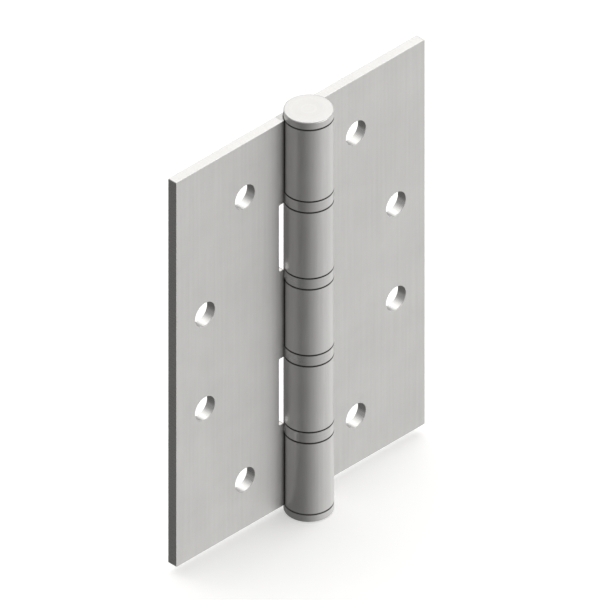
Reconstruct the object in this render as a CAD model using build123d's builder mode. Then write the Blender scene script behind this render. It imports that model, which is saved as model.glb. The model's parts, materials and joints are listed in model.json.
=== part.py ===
"""Five-knuckle ball bearing butt hinge, opened flat, in millimetres.

Two stamped leaves are rolled round one fixed pin. A small thrust bearing sits in each of the four gaps
between the knuckles. The origin is on the pin axis at mid-height: +X runs along the right leaf, -Y is
the side that the barrel stands out from, and +Z is up. Knuckle 1 and bearing 1 are the top ones.
"""
import os
from math import asin, atan2, cos, degrees, pi, radians, sin, sqrt

from build123d import *

# Leaves
leaf_height = 102.0
open_width = 76.2
leaf_thickness = 2.5
knuckle_count = 5
knuckle_od = 11.0
swage = 0.5
swage_radius = 5.0
seam_gap = 0.15
notch_side_gap = 1.05
notch_end_gap = 0.1
corner_radius = 0.3
edge_break = 0.12
knuckle_break = 0.08

# Screw holes, four in each leaf, measured from the pin axis and from the leaf's bottom edge
hole_d = 6.0
inner_hole_reach = 17.0
outer_hole_reach = 29.25
first_hole_height = 12.7
hole_pitch = 25.0

# Pin and bottom plug
pin_clearance = 0.05
button_height = 2.0
button_edge = 0.3
button_underside = 0.25
press_length = 8.0
plug_spigot = 6.0
plug_gap = 0.5
pin_end_chamfer = 0.4

# Thrust bearings
bearing_height = 3.0
bearing_side_gap = 0.2
case_sheet = 0.3
case_seam = 0.2
case_corner = 0.25
case_lip = 0.4
case_lip_edge = 0.1
race_bore_gap = 0.1
race_clearance = 0.05
ball_d = 1.5
ball_clearance = 0.03
ball_spacing = 0.09
groove_depth = 0.2

# Leaf sizes worked out from those above
barrel_r = knuckle_od / 2
bore_r = barrel_r - leaf_thickness
leaf_back = barrel_r - swage
leaf_front = leaf_back - leaf_thickness
leaf_reach = open_width / 2
half_height = leaf_height / 2
notch_reach = barrel_r + notch_side_gap
tab_reach = sqrt((barrel_r + bearing_side_gap) ** 2 - leaf_front**2)
knuckle_pitch = leaf_height / knuckle_count
past_barrel = 2 * barrel_r

# Pin and bearing sizes worked out from those above
pin_r = bore_r - pin_clearance
pin_bottom = -half_height + plug_spigot + plug_gap
race_bore_r = bore_r + race_bore_gap
race_outer_r = barrel_r - case_sheet
lip_r = race_outer_r - case_lip
track_r = (race_bore_r + race_outer_r) / 2
groove_r = ball_d / 2 + ball_clearance
race_thickness = (bearing_height - case_sheet - ball_d) / 2 + groove_depth
ball_height = case_sheet + race_thickness - groove_depth + ball_d / 2
ball_count = int(pi / asin((ball_d + ball_spacing) / (2 * track_r)))

os.makedirs("parts", exist_ok=True)


def save(piece, name):
    """Label one finished piece and write it to its own file."""
    piece.part.label = name
    export_step(piece.part, f"parts/{name}.step")


def bearing_floor(number):
    """Height of a bearing's underside."""
    return half_height - number * knuckle_pitch - bearing_height / 2


def knuckle_span(number):
    """Lowest and highest point of a knuckle."""
    low = bearing_floor(number) + bearing_height if number < knuckle_count else -half_height
    high = bearing_floor(number - 1) if number > 1 else half_height
    return low, high


def leaf_section():
    """The left leaf's section: one strip, offset towards the back and rolled round the bore."""
    strip_r = barrel_r - leaf_thickness / 2
    bend_x = -sqrt(swage * (2 * swage_radius + 2 * strip_r - swage))
    bend_y = leaf_front + leaf_thickness / 2 + swage_radius
    bend = (bend_x, bend_y)
    bend_angle = degrees(atan2(bend_y, bend_x))
    bend_turn = bend_angle - 90
    tip_angle = 180 - degrees(asin((leaf_front - seam_gap) / barrel_r))
    roll = 360 + bend_angle - tip_angle
    tip_x = cos(radians(tip_angle))
    tip_y = sin(radians(tip_angle))
    free_front = (-leaf_reach, leaf_front)
    free_back = (-leaf_reach, leaf_back)
    with BuildSketch(Plane.XY.offset(-half_height)) as section:
        with BuildLine():
            Polyline((bend_x, leaf_front), free_front, free_back, (bend_x, leaf_back))
            CenterArc(bend, swage_radius - leaf_thickness / 2, 270, bend_turn)
            CenterArc((0, 0), barrel_r, bend_angle, -roll)
            Line((barrel_r * tip_x, barrel_r * tip_y), (bore_r * tip_x, bore_r * tip_y))
            CenterArc((0, 0), bore_r, bend_angle, -roll)
            CenterArc(bend, swage_radius + leaf_thickness / 2, 270, bend_turn)
        make_face()
    return section.sketch


def cut_box(low_corner, high_corner):
    """Cut away the box between two corners."""
    spans = [(low + high) / 2 for low, high in zip(low_corner, high_corner)]
    sizes = [high - low for low, high in zip(low_corner, high_corner)]
    with Locations(tuple(spans)):
        Box(*sizes, mode=Mode.SUBTRACT)


def cut_barrel(reach, low, high):
    """Cut the barrel away between two heights, and the plate as far as a reach left of the axis."""
    cut_box((-past_barrel, -past_barrel, low), (past_barrel, leaf_front, high))
    cut_box((-reach, -past_barrel, low), (past_barrel, past_barrel, high))


def beyond_tabs(edge):
    """Whether an edge of the left leaf lies further out than the tabs beside the bearings."""
    return edge.center().X < -tab_reach - corner_radius


def hole_places():
    """Centres of the left leaf's screw holes. The middle two stand nearer the free edge."""
    reaches = (inner_hole_reach, outer_hole_reach, outer_hole_reach, inner_hole_reach)
    bottom = first_hole_height - half_height
    return [(-reach, bottom + row * hole_pitch) for row, reach in enumerate(reaches)]


def make_leaf(own_knuckles, on_right=False):
    """Stamp, roll and drill one leaf. It is made on the left, and mirrored if it goes on the right."""
    with BuildPart() as leaf:
        extrude(leaf_section(), amount=leaf_height)
        for number in range(1, knuckle_count + 1):
            low, high = knuckle_span(number)
            if number not in own_knuckles:
                cut_barrel(notch_reach, low - notch_end_gap, high + notch_end_gap)
            if number < knuckle_count:
                cut_barrel(tab_reach, low - bearing_height, low)
        fillet(leaf.edges().filter_by(Axis.Y).filter_by(beyond_tabs), corner_radius)
        with BuildSketch(Plane.XZ):
            with Locations(*hole_places()):
                Circle(hole_d / 2)
        extrude(amount=-past_barrel, mode=Mode.SUBTRACT)
        plate_rims = leaf.faces().filter_by(Axis.Y).edges().filter_by(beyond_tabs)
        barrel_rims = leaf.faces().filter_by(Axis.Z).edges().filter_by(GeomType.CIRCLE)
        fillet(barrel_rims, knuckle_break)
        fillet(plate_rims, edge_break)
        if on_right:
            mirror(about=Plane.YZ, mode=Mode.REPLACE)
    return leaf


def band(inner, outer, low, high):
    """One rectangle of a turned section, between two radii and two heights."""
    with Locations(((inner + outer) / 2, (low + high) / 2)):
        Rectangle(outer - inner, high - low)


def rims_of_radius(piece, radius):
    """The round edges of a turned piece that have one radius."""
    rims = piece.edges().filter_by(GeomType.CIRCLE)
    return rims.filter_by(lambda edge: abs(edge.radius - radius) < 0.001).sort_by(Axis.Z)


def make_case(floor):
    """A drawn cup that holds the lower race, its lip curled in over the upper race's shoulder."""
    top = floor + bearing_height - case_seam
    with BuildPart() as case:
        with BuildSketch(Plane.XZ):
            band(race_bore_r, barrel_r, floor, floor + case_sheet)
            band(race_outer_r, barrel_r, floor, top)
            band(lip_r, barrel_r, top - case_sheet, top)
        revolve(axis=Axis.Z)
        fillet(rims_of_radius(case, barrel_r).last, case_lip_edge)
        fillet(rims_of_radius(case, barrel_r).first, case_corner)
    return case


def make_lower_race(floor):
    """The grooved washer pressed into the case."""
    seat = floor + case_sheet
    with BuildPart() as race:
        with BuildSketch(Plane.XZ):
            band(race_bore_r, race_outer_r, seat, seat + race_thickness)
            with Locations((track_r, floor + ball_height)):
                Circle(groove_r, mode=Mode.SUBTRACT)
        revolve(axis=Axis.Z)
    return race


def make_upper_race(floor):
    """The grooved washer that turns with the knuckle above, its neck standing up through the case's lip."""
    top = floor + bearing_height
    shoulder = top - case_seam - case_sheet - race_clearance
    with BuildPart() as race:
        with BuildSketch(Plane.XZ):
            band(race_bore_r, lip_r - race_clearance, top - race_thickness, top)
            band(race_bore_r, race_outer_r - race_clearance, top - race_thickness, shoulder)
            with Locations((track_r, floor + ball_height)):
                Circle(groove_r, mode=Mode.SUBTRACT)
        revolve(axis=Axis.Z)
    return race


def make_balls(floor):
    """A full ring of loose balls."""
    with BuildPart() as balls:
        with Locations((0, 0, floor + ball_height)):
            with PolarLocations(track_r, ball_count):
                Sphere(ball_d / 2)
    return balls


save(make_leaf((1, 3, 5)), "leaf_three_knuckle")
save(make_leaf((2, 4), on_right=True), "leaf_two_knuckle")

# The pin has its flat button in one piece, and is a press fit in the top and bottom knuckles only
with BuildPart() as hinge_pin:
    with BuildSketch(Plane.XZ):
        band(0, pin_r, pin_bottom, half_height)
        band(0, bore_r, pin_bottom, pin_bottom + press_length)
        band(0, bore_r, half_height - press_length, half_height)
        band(0, barrel_r, half_height, half_height + button_height)
    revolve(axis=Axis.Z)
    fillet(rims_of_radius(hinge_pin, barrel_r).last, button_edge)
    fillet(rims_of_radius(hinge_pin, barrel_r).first, button_underside)
    chamfer(rims_of_radius(hinge_pin, bore_r).first, pin_end_chamfer)
save(hinge_pin, "hinge_pin")

# The matching button at the bottom, with a spigot pressed into the last knuckle
with BuildPart() as bottom_plug:
    with BuildSketch(Plane.XZ):
        band(0, bore_r, -half_height, -half_height + plug_spigot)
        band(0, barrel_r, -half_height - button_height, -half_height)
    revolve(axis=Axis.Z)
    fillet(rims_of_radius(bottom_plug, barrel_r).first, button_edge)
    fillet(rims_of_radius(bottom_plug, barrel_r).last, button_underside)
    chamfer(rims_of_radius(bottom_plug, bore_r).last, pin_end_chamfer)
save(bottom_plug, "bottom_plug")

for number in range(1, knuckle_count):
    floor = bearing_floor(number)
    save(make_case(floor), f"bearing_{number}_case")
    save(make_lower_race(floor), f"bearing_{number}_lower_race")
    save(make_upper_race(floor), f"bearing_{number}_upper_race")
    save(make_balls(floor), f"bearing_{number}_balls")
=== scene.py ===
"""Ball bearing butt hinge in satin stainless steel, in isometric projection on a plain pale floor."""
import json
import math

import bpy
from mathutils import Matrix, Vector


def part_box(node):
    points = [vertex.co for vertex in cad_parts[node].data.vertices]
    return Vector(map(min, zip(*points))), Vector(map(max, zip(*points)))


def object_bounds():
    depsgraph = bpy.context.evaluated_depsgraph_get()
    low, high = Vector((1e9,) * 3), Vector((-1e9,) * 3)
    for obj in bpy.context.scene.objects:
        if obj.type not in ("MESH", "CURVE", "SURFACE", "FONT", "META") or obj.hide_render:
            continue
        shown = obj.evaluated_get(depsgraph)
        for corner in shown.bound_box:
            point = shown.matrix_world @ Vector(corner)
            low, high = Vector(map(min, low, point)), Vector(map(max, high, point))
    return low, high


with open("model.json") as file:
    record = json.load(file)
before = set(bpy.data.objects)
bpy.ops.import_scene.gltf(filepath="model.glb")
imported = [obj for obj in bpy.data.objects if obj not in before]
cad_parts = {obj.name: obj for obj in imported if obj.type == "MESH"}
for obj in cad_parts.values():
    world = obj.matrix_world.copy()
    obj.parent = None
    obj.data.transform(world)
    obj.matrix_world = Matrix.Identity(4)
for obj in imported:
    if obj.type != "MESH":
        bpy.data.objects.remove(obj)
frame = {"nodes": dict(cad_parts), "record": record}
cad_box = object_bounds()

MM = 0.001

# The picture: its width and scale in pixels, its isometric viewing angles, and where the pin axis falls in
# it. The camera's distance is in metres.
PICTURE_PIXELS = 600
PIXELS_PER_MM = 4.615
VIEW_AZIMUTH = math.radians(-45)
VIEW_ELEVATION = math.atan(1 / math.sqrt(2))
AXIS_PIXEL = (308.75, 308.15)
CAMERA_DISTANCE = 0.6

# The backdrop and the floor, and how much of the floor's white is its own light, which keeps its shadows
# faint
BACKDROP_LIGHT = 1.0
FLOOR_GAP = 0.1 * MM
FLOOR_SIZE = 6.0
FLOOR_COLOUR = (0.9, 0.9, 0.895, 1)
FLOOR_ROUGHNESS = 0.9
FLOOR_GLOW = 0.32

# The light of the studio's walls, by the angle round the hinge from the studio's front. It grows from
# the left to the right, then falls away behind, and it is weaker above eye level. It never falls under a
# dim level, which is higher near eye level.
FRONT = math.radians(-50)
GROWS_FROM, GROWS_TO = math.radians(-110), math.radians(55)
FALLS_FROM, FALLS_TO = math.radians(60), math.radians(110)
DIM_LIGHT, BRIGHT_LIGHT = 0.16, 1.12
EYE_LEVEL_LIGHT = 0.4
EYE_LEVEL_FROM, EYE_LEVEL_TO = -0.45, -0.1
WALLS_FADE_FROM, WALLS_FADE_TO = 0.05, 0.3
WALLS_ABOVE = 0.55
LIGHT_COLOUR = (1.0, 0.995, 0.985, 1)

# The soft ceiling, by height. It is brightest on the right, behind the hinge.
CEILING_FROM, CEILING_TO = 0.25, 0.8
CEILING_LIGHT = 2.06
CEILING_SIDE = (math.sqrt(0.5), math.sqrt(0.5), 0.0)
CEILING_DIM_SIDE, CEILING_BRIGHT_SIDE = -0.3, 0.82
CEILING_LEAST = 0.1

# Large soft panels in front of the hinge and behind it, round eye level, each by its middle's angle
PANEL_HALF, PANEL_FADE = math.radians(18), math.radians(15)
PANEL_FROM, PANEL_FULL = -0.3, -0.05
PANEL_FADES, PANEL_TOP = 0.1, 0.35
FRONT_PANEL_ANGLE, FRONT_PANEL_LIGHT = math.radians(-22), 2.75
BACK_PANEL_ANGLE, BACK_PANEL_LIGHT = math.radians(140), 0.7

# Tones of the steel, of its rubbed edges, and the near black of grime and painted shade in its seams and
# tight corners
STEEL = (0.63, 0.627, 0.618, 1)
STEEL_DARK = (0.575, 0.572, 0.564, 1)
BALL_STEEL = (0.8, 0.8, 0.8, 1)
BALL_STEEL_DARK = (0.76, 0.76, 0.76, 1)
RUBBED = (0.82, 0.815, 0.805, 1)
GRIME_SHADE_TONE = (0.045, 0.043, 0.04, 1)

# How rough each surface is, from 0 for a mirror to 1 for chalk
FLAT_ROUGHNESS = 0.6
BARREL_ROUGHNESS = 0.38
CUT_ROUGHNESS = 0.28
PIN_ROUGHNESS = 0.38
CASE_ROUGHNESS = 0.3
RACE_ROUGHNESS = 0.22
BALL_ROUGHNESS = 0.1

# Marks in the steel, in features to a metre, and how much longer a grain line is than it is wide
FINE_GRAIN = 9000.0
BROAD_GRAIN = 1600.0
CLOUDS = 60.0
SMUDGES = 210.0
WAVES = 110.0
GRAIN_STRETCH = 0.02

# How much finer the grain is across a cut edge than up the sheet
CUT_FINENESS = 3.0

# How crisp each noise is, by its number of finer layers and the strength of each
FINE_LAYERS, FINE_CRISPNESS = 3.0, 0.6
CLOUD_LAYERS = 3.0
SMUDGE_LAYERS, SMUDGE_CRISPNESS = 4.0, 0.6
WAVE_LAYERS = 1.0

# The middle range that noise mostly keeps to, and the range of the three tones' sum
NOISE_LOW, NOISE_HIGH = 0.35, 0.65
TONE_LOW, TONE_HIGH = 0.38, 0.62

# What share of the steel's tone and of its gloss each noise makes, and the range of the gloss
FINE_TONE, BROAD_TONE, CLOUD_TONE = 0.4, 0.3, 0.3
FINE_GLOSS, SMUDGE_GLOSS = 0.6, 0.4
GLOSS_LOW, GLOSS_HIGH = 0.88, 1.12

# How strongly rubbing, and the grime and painted shade, colour the steel, and how much they add to its
# roughness
RUB_COLOUR, RUB_ROUGHNESS = 0.5, -0.08
GRIME_SHADE_COLOUR_SHARE, GRIME_SHADE_ROUGHNESS = 0.95, 0.3

# Depths and widths of the marks
GRAIN_DEPTH, GRAIN_STRENGTH = 0.02 * MM, 0.35
WAVE_DEPTH, WAVE_STRENGTH = 0.06 * MM, 1.0
EDGE_WIDTH = 0.3 * MM
# How far a corner's painted shade reaches, and the width and fade of the line of painted shade along each
# seam
CORNER_REACH = 0.8 * MM
SEAM_LINE = 0.12 * MM
SEAM_FADE = 0.3 * MM

# Distances from the pin axis, as shares of the barrel's radius, where the seams' painted shade lines and
# the barrel's finish end
SEAM_REACH = 1.03
BARREL_REACH, BARREL_FADE = 1.02, 1.2

# A face counts as cut when its normal leans less than this towards the sheet's front or back
CUT_LEAN = 0.6

# Rubbing starts where a rounded normal agrees less than the first value with the true one, and is full
# at the second. An edge is always rubbed a little, unless grime and painted shade lie on it.
EDGE_FAINT, EDGE_FULL = 0.995, 0.9
EDGE_SAMPLES = 6
LEAST_RUB = 0.25
RUB_ENDS_AT_GRIME_SHADE = 0.15

# A corner, by how open it is: unmarked above the first value, and fully darkened by grime and painted
# shade below the second
CORNER_CLEAN, CORNER_GRIMY_SHADED = 0.8, 0.3
CORNER_SAMPLES = 8

# The mix node's sockets for each kind of value: its first and second inputs, and its output
MIX_SOCKETS = {"FLOAT": (2, 3, 0), "VECTOR": (4, 5, 1), "RGBA": (6, 7, 2)}

# Places worked out from the frame: the barrel's radius, and the height of each seam across it, where a
# line of painted shade runs
BEARINGS = 4
barrel_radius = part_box("hinge_pin")[1].x
seam_heights = [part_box("leaf_three_knuckle")[0].z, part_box("leaf_three_knuckle")[1].z]
for number in range(1, BEARINGS + 1):
    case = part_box(f"bearing_{number}_case")
    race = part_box(f"bearing_{number}_upper_race")
    seam_heights += [case[0].z, (case[1].z + race[1].z) / 2]


def make_node(tree, kind, inputs=None, **settings):
    """Add one shader node. An input is a value, or a socket to link from."""
    made = tree.nodes.new(kind)
    for name, value in settings.items():
        setattr(made, name, value)
    for name, value in (inputs or {}).items():
        if isinstance(value, bpy.types.NodeSocket):
            tree.links.new(value, made.inputs[name])
        else:
            made.inputs[name].default_value = value
    return made


def maths(tree, operation, first, second=0.0, third=0.0):
    """One sum on sockets or numbers."""
    inputs = {0: first, 1: second, 2: third}
    return make_node(tree, "ShaderNodeMath", inputs, operation=operation).outputs[0]


def vectors(tree, operation, first, second):
    """One sum on vectors. A dot product or a length comes out as a number."""
    made = make_node(tree, "ShaderNodeVectorMath", {0: first, 1: second}, operation=operation)
    return made.outputs["Value" if operation in ("DOT_PRODUCT", "LENGTH") else "Vector"]


def parts_of(tree, vector):
    """The X, Y and Z of a vector."""
    return make_node(tree, "ShaderNodeSeparateXYZ", {"Vector": vector}).outputs


def spread(tree, value, low, high, to_low=0.0, to_high=1.0):
    """Stretch a value from one range to another, and hold it inside."""
    inputs = {"Value": value, "From Min": low, "From Max": high, "To Min": to_low, "To Max": to_high}
    return make_node(tree, "ShaderNodeMapRange", inputs).outputs["Result"]


def mix(tree, kind, share, first, second):
    """Mix two numbers, vectors or colours by a share."""
    first_socket, second_socket, result = MIX_SOCKETS[kind]
    inputs = {0: share, first_socket: first, second_socket: second}
    return make_node(tree, "ShaderNodeMix", inputs, data_type=kind).outputs[result]


def noise(tree, vector, scale, layers=2.0, crispness=0.5):
    """Noise from 0 to 1, with the scale in features to a metre."""
    inputs = {"Vector": vector, "Scale": scale, "Detail": layers, "Roughness": crispness}
    return make_node(tree, "ShaderNodeTexNoise", inputs).outputs["Fac"]


def bump(tree, height, depth, strength, normal=None):
    """A normal that follows a height, on top of another normal if there is one."""
    inputs = {"Strength": strength, "Distance": depth, "Height": height}
    if normal:
        inputs["Normal"] = normal
    return make_node(tree, "ShaderNodeBump", inputs).outputs["Normal"]


def new_material(name):
    """An empty material and its node tree."""
    material = bpy.data.materials.new(name)
    material.use_nodes = True
    material.node_tree.nodes.clear()
    return material, material.node_tree


def place_on_piece(tree):
    """The place of a point, in metres, which moves with its piece."""
    return make_node(tree, "ShaderNodeTexCoord").outputs["Object"]


def across_axis(tree, place):
    """A point's place, square to the pin axis."""
    parts = parts_of(tree, place)
    return make_node(tree, "ShaderNodeCombineXYZ", {"X": parts["X"], "Y": parts["Y"]}).outputs[0]


def axis_distance(tree, place):
    """A point's distance from the pin axis."""
    return vectors(tree, "LENGTH", across_axis(tree, place), (0, 0, 0))


def cut_faces(tree, place):
    """1 on the sheet's cut edges and in its holes, and 0 on its flats and on the barrel."""
    normal = make_node(tree, "ShaderNodeTexCoord").outputs["Normal"]
    lean = maths(tree, "ABSOLUTE", parts_of(tree, normal)["Y"])
    reach = maths(tree, "ABSOLUTE", parts_of(tree, place)["X"])
    edgewise = maths(tree, "LESS_THAN", lean, CUT_LEAN)
    outside = maths(tree, "GREATER_THAN", reach, barrel_radius)
    return maths(tree, "MULTIPLY", edgewise, outside)


def barrel_faces(tree, place):
    """1 on the barrel, fading to 0 just outside it."""
    radius = axis_distance(tree, place)
    return spread(tree, radius, barrel_radius * BARREL_FADE, barrel_radius * BARREL_REACH)


def sheet_grain(tree, place):
    """Grain that runs up the sheet, but across its thickness on a cut edge, where it is finer."""
    upright = vectors(tree, "MULTIPLY", place, (1.0, 1.0, GRAIN_STRETCH))
    scale = (CUT_FINENESS, CUT_FINENESS * GRAIN_STRETCH, CUT_FINENESS)
    across = vectors(tree, "MULTIPLY", place, scale)
    return mix(tree, "VECTOR", cut_faces(tree, place), upright, across)


def turned_grain(tree, place):
    """Grain that runs round the pin, as a lathe leaves it."""
    inputs = {"X": axis_distance(tree, place), "Z": parts_of(tree, place)["Z"]}
    ring = make_node(tree, "ShaderNodeCombineXYZ", inputs).outputs[0]
    stretch = (GRAIN_STRETCH, GRAIN_STRETCH, GRAIN_STRETCH)
    drift = vectors(tree, "MULTIPLY", across_axis(tree, place), stretch)
    return vectors(tree, "ADD", ring, drift)


def seam_shade_line(tree, place):
    """Painted shade: 1 along the seams across the barrel, fading to 0 a little way from them."""
    height = parts_of(tree, place)["Z"]
    gaps = [maths(tree, "ABSOLUTE", maths(tree, "SUBTRACT", height, seam)) for seam in seam_heights]
    nearest = gaps[0]
    for gap in gaps[1:]:
        nearest = maths(tree, "MINIMUM", nearest, gap)
    line = spread(tree, nearest, SEAM_FADE, SEAM_LINE)
    on_barrel = maths(tree, "LESS_THAN", axis_distance(tree, place), barrel_radius * SEAM_REACH)
    return maths(tree, "MULTIPLY", line, on_barrel)


def seam_grime_and_shade(tree, place):
    """Grime and painted shade: how dark a point is made, from 0 in the open to 1 in a seam or a tight
    corner.
    """
    inputs = {"Distance": CORNER_REACH}
    # Painted shade in tight corners, from how enclosed a point is
    corner = make_node(tree, "ShaderNodeAmbientOcclusion", inputs, samples=CORNER_SAMPLES)
    in_corner = spread(tree, corner.outputs["AO"], CORNER_CLEAN, CORNER_GRIMY_SHADED)
    return maths(tree, "MAXIMUM", in_corner, seam_shade_line(tree, place))


def edge_rub(tree, smudge, grime_and_shade):
    """How much a point has been rubbed bright: on outer edges, unevenly, and never in a seam."""
    rounded = make_node(tree, "ShaderNodeBevel", {"Radius": EDGE_WIDTH}, samples=EDGE_SAMPLES).outputs[0]
    true_normal = make_node(tree, "ShaderNodeNewGeometry").outputs["Normal"]
    agreement = vectors(tree, "DOT_PRODUCT", rounded, true_normal)
    on_edge = spread(tree, agreement, EDGE_FAINT, EDGE_FULL)
    unevenness = spread(tree, smudge, NOISE_LOW, NOISE_HIGH, LEAST_RUB, 1.0)
    # No rubbing where grime and painted shade lie
    free_of_grime_and_shade = spread(tree, grime_and_shade, RUB_ENDS_AT_GRIME_SHADE, 0.0)
    return maths(tree, "MULTIPLY", maths(tree, "MULTIPLY", on_edge, unevenness), free_of_grime_and_shade)


def steel_colour(tree, tones, fine, broad, cloud, rub, grime_and_shade):
    """The steel's colour: two tones mixed by its grain and clouds, then rubbed, then darkened by grime and
    painted shade.
    """
    streaks = maths(tree, "MULTIPLY_ADD", fine, FINE_TONE, maths(tree, "MULTIPLY", broad, BROAD_TONE))
    tone = maths(tree, "MULTIPLY_ADD", cloud, CLOUD_TONE, streaks)
    light, dark = tones
    colour = mix(tree, "RGBA", spread(tree, tone, TONE_LOW, TONE_HIGH), dark, light)
    colour = mix(tree, "RGBA", maths(tree, "MULTIPLY", rub, RUB_COLOUR), colour, RUBBED)
    # Grime and painted shade: seams and tight corners darkened towards near black
    return mix(tree, "RGBA", maths(tree, "MULTIPLY", grime_and_shade, GRIME_SHADE_COLOUR_SHARE), colour, GRIME_SHADE_TONE)


def steel_gloss(tree, roughness, fine, smudge, rub, grime_and_shade):
    """The steel's roughness, varied by its grain and smudges, less on rubbed edges and more under the
    grime and painted shade.
    """
    marks = maths(tree, "MULTIPLY_ADD", fine, FINE_GLOSS, maths(tree, "MULTIPLY", smudge, SMUDGE_GLOSS))
    varied = spread(tree, marks, NOISE_LOW, NOISE_HIGH, GLOSS_LOW, GLOSS_HIGH)
    gloss = maths(tree, "MULTIPLY", varied, roughness)
    gloss = maths(tree, "MULTIPLY_ADD", rub, RUB_ROUGHNESS, gloss)
    return maths(tree, "MULTIPLY_ADD", grime_and_shade, GRIME_SHADE_ROUGHNESS, gloss)


def finish_steel(tree, place, grain_place, tones, roughness):
    """Steel toned by its grain, with rubbed edges, seams and tight corners darkened by grime and painted
    shade, and a faint wave in its surface.
    """
    fine = noise(tree, grain_place, FINE_GRAIN, FINE_LAYERS, FINE_CRISPNESS)
    broad = noise(tree, grain_place, BROAD_GRAIN)
    cloud = noise(tree, place, CLOUDS, CLOUD_LAYERS)
    smudge = noise(tree, place, SMUDGES, SMUDGE_LAYERS, SMUDGE_CRISPNESS)
    wave = noise(tree, place, WAVES, WAVE_LAYERS)
    # Grime and painted shade in the seams and tight corners, darker the more enclosed a point is
    grime_and_shade = seam_grime_and_shade(tree, place)
    rub = edge_rub(tree, smudge, grime_and_shade)
    waved = bump(tree, wave, WAVE_DEPTH, WAVE_STRENGTH)
    inputs = {
        "Base Color": steel_colour(tree, tones, fine, broad, cloud, rub, grime_and_shade),
        "Metallic": 1.0,
        "Roughness": steel_gloss(tree, roughness, fine, smudge, rub, grime_and_shade),
        "Normal": bump(tree, fine, GRAIN_DEPTH, GRAIN_STRENGTH, waved),
    }
    shader = make_node(tree, "ShaderNodeBsdfPrincipled", inputs)
    make_node(tree, "ShaderNodeOutputMaterial", {"Surface": shader.outputs[0]})


def leaf_steel():
    """Satin sheet, brushed upright."""
    material, tree = new_material("leaf_steel")
    place = place_on_piece(tree)
    flat_or_cut = spread(tree, cut_faces(tree, place), 0.0, 1.0, FLAT_ROUGHNESS, CUT_ROUGHNESS)
    on_barrel = spread(tree, barrel_faces(tree, place), 0.0, 1.0, 0.0, BARREL_ROUGHNESS - FLAT_ROUGHNESS)
    roughness = maths(tree, "ADD", flat_or_cut, on_barrel)
    finish_steel(tree, place, sheet_grain(tree, place), (STEEL, STEEL_DARK), roughness)
    return material


def turned_steel(name, roughness):
    """Steel with its grain round the pin axis."""
    material, tree = new_material(name)
    place = place_on_piece(tree)
    finish_steel(tree, place, turned_grain(tree, place), (STEEL, STEEL_DARK), roughness)
    return material


def pin_steel():
    """Turned bar, with fine rings on its flat head."""
    return turned_steel("pin_steel", PIN_ROUGHNESS)


def case_steel():
    """Drawn and tumbled cups, a little smoother than the knuckles."""
    return turned_steel("case_steel", CASE_ROUGHNESS)


def race_steel():
    """Hardened and ground washers."""
    return turned_steel("race_steel", RACE_ROUGHNESS)


def ball_steel():
    """Polished balls, with only a trace of grain."""
    material, tree = new_material("ball_steel")
    place = place_on_piece(tree)
    finish_steel(tree, place, place, (BALL_STEEL, BALL_STEEL_DARK), BALL_ROUGHNESS)
    return material


def dress(name, material):
    """Give one CAD node its material."""
    mesh = frame["nodes"][name].data
    mesh.materials.clear()
    mesh.materials.append(material)


def floor_paper():
    """Matt white paper with a little light of its own."""
    material, tree = new_material("floor_paper")
    inputs = {
        "Base Color": FLOOR_COLOUR,
        "Roughness": FLOOR_ROUGHNESS,
        "Emission Color": FLOOR_COLOUR,
        "Emission Strength": FLOOR_GLOW,
    }
    shader = make_node(tree, "ShaderNodeBsdfPrincipled", inputs)
    make_node(tree, "ShaderNodeOutputMaterial", {"Surface": shader.outputs[0]})
    return material


def make_floor():
    """A plain pale floor just under the hinge. The steel doesn't mirror it."""
    low = cad_box[0].z - FLOOR_GAP
    half = FLOOR_SIZE / 2
    corners = [(-half, -half, low), (half, -half, low), (half, half, low), (-half, half, low)]
    mesh = bpy.data.meshes.new("floor")
    mesh.from_pydata(corners, [], [(0, 1, 2, 3)])
    mesh.materials.append(floor_paper())
    floor = bpy.data.objects.new("floor", mesh)
    bpy.context.scene.collection.objects.link(floor)
    floor.visible_glossy = False
    floor.visible_diffuse = False
    floor.visible_shadow = False


def angle_round(tree, direction):
    """The angle round the hinge from the studio's front, positive towards the right."""
    ahead = vectors(tree, "DOT_PRODUCT", direction, (math.cos(FRONT), math.sin(FRONT), 0.0))
    beside = vectors(tree, "DOT_PRODUCT", direction, (-math.sin(FRONT), math.cos(FRONT), 0.0))
    return maths(tree, "ARCTAN2", beside, ahead)


def wall_light(tree, angle, height):
    """The light of the studio's walls, bright on the right, dim behind and weaker above."""
    growth = spread(tree, angle, GROWS_FROM, GROWS_TO)
    share = maths(tree, "MULTIPLY", growth, spread(tree, angle, FALLS_FROM, FALLS_TO, 1.0, 0.0))
    side = maths(tree, "MULTIPLY_ADD", share, BRIGHT_LIGHT - DIM_LIGHT, DIM_LIGHT)
    upper = spread(tree, height, WALLS_FADE_FROM, WALLS_FADE_TO, 1.0, WALLS_ABOVE)
    least = spread(tree, height, EYE_LEVEL_FROM, EYE_LEVEL_TO, DIM_LIGHT, EYE_LEVEL_LIGHT)
    return maths(tree, "MAXIMUM", maths(tree, "MULTIPLY", side, upper), least)


def ceiling_light(tree, direction, height):
    """The light of the ceiling, brightest on the right, behind the hinge."""
    overhead = spread(tree, height, CEILING_FROM, CEILING_TO, 0.0, CEILING_LIGHT)
    sideways = vectors(tree, "DOT_PRODUCT", direction, CEILING_SIDE)
    lean = spread(tree, sideways, CEILING_DIM_SIDE, CEILING_BRIGHT_SIDE, CEILING_LEAST)
    return maths(tree, "MULTIPLY", overhead, lean)


def panel_light(tree, angle, height, middle, light):
    """The light of one soft panel."""
    aside = maths(tree, "ABSOLUTE", maths(tree, "SUBTRACT", angle, middle))
    across = spread(tree, aside, PANEL_HALF + PANEL_FADE, PANEL_HALF)
    below = spread(tree, height, PANEL_FROM, PANEL_FULL)
    above = spread(tree, height, PANEL_TOP, PANEL_FADES)
    upright = maths(tree, "MULTIPLY", below, above)
    return maths(tree, "MULTIPLY", maths(tree, "MULTIPLY", across, upright), light)


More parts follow.
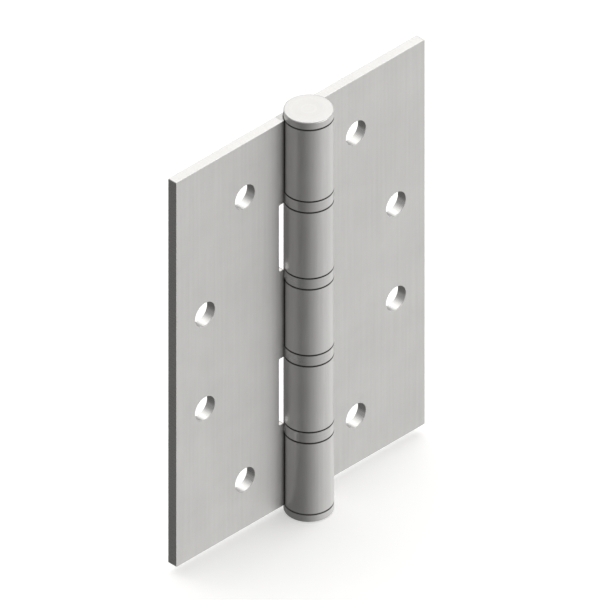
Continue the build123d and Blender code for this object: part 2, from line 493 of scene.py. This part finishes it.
def make_world():
    """Soft studio light on the hinge, and a plain white backdrop for the camera."""
    world = bpy.data.worlds.new("studio")
    bpy.context.scene.world = world
    world.use_nodes = True
    tree = world.node_tree
    tree.nodes.clear()
    direction = make_node(tree, "ShaderNodeTexCoord").outputs["Generated"]
    angle = angle_round(tree, direction)
    height = parts_of(tree, direction)["Z"]
    room = maths(tree, "ADD", wall_light(tree, angle, height), ceiling_light(tree, direction, height))
    front = panel_light(tree, angle, height, FRONT_PANEL_ANGLE, FRONT_PANEL_LIGHT)
    back = panel_light(tree, angle, height, BACK_PANEL_ANGLE, BACK_PANEL_LIGHT)
    studio = maths(tree, "ADD", room, maths(tree, "ADD", front, back))
    for_camera = make_node(tree, "ShaderNodeLightPath").outputs["Is Camera Ray"]
    strength = mix(tree, "FLOAT", for_camera, studio, BACKDROP_LIGHT)
    light = make_node(tree, "ShaderNodeBackground", {"Color": LIGHT_COLOUR, "Strength": strength})
    make_node(tree, "ShaderNodeOutputWorld", {"Surface": light.outputs[0]})


def make_camera():
    """An isometric camera, shifted so that the pin axis falls where the picture has it."""
    data = bpy.data.cameras.new("camera")
    data.type = "ORTHO"
    data.ortho_scale = PICTURE_PIXELS / PIXELS_PER_MM * MM
    data.shift_x = (PICTURE_PIXELS / 2 - AXIS_PIXEL[0]) / PICTURE_PIXELS
    data.shift_y = (AXIS_PIXEL[1] - PICTURE_PIXELS / 2) / PICTURE_PIXELS
    camera = bpy.data.objects.new("camera", data)
    away = Vector((
        math.sin(VIEW_AZIMUTH) * math.cos(VIEW_ELEVATION),
        -math.cos(VIEW_AZIMUTH) * math.cos(VIEW_ELEVATION),
        math.sin(VIEW_ELEVATION),
    ))
    camera.location = away * CAMERA_DISTANCE
    camera.rotation_euler = (-away).to_track_quat("-Z", "Y").to_euler()
    bpy.context.scene.collection.objects.link(camera)
    bpy.context.scene.camera = camera


slot_materials = {
    "leaf_steel": leaf_steel(),
    "pin_steel": pin_steel(),
    "case_steel": case_steel(),
    "race_steel": race_steel(),
    "ball_steel": ball_steel(),
}
for row in frame["record"]["subparts"]:
    dress(row["node"], slot_materials[row["material_slot"]])

make_floor()
make_world()
make_camera()
bpy.context.scene.view_settings.view_transform = "Standard"
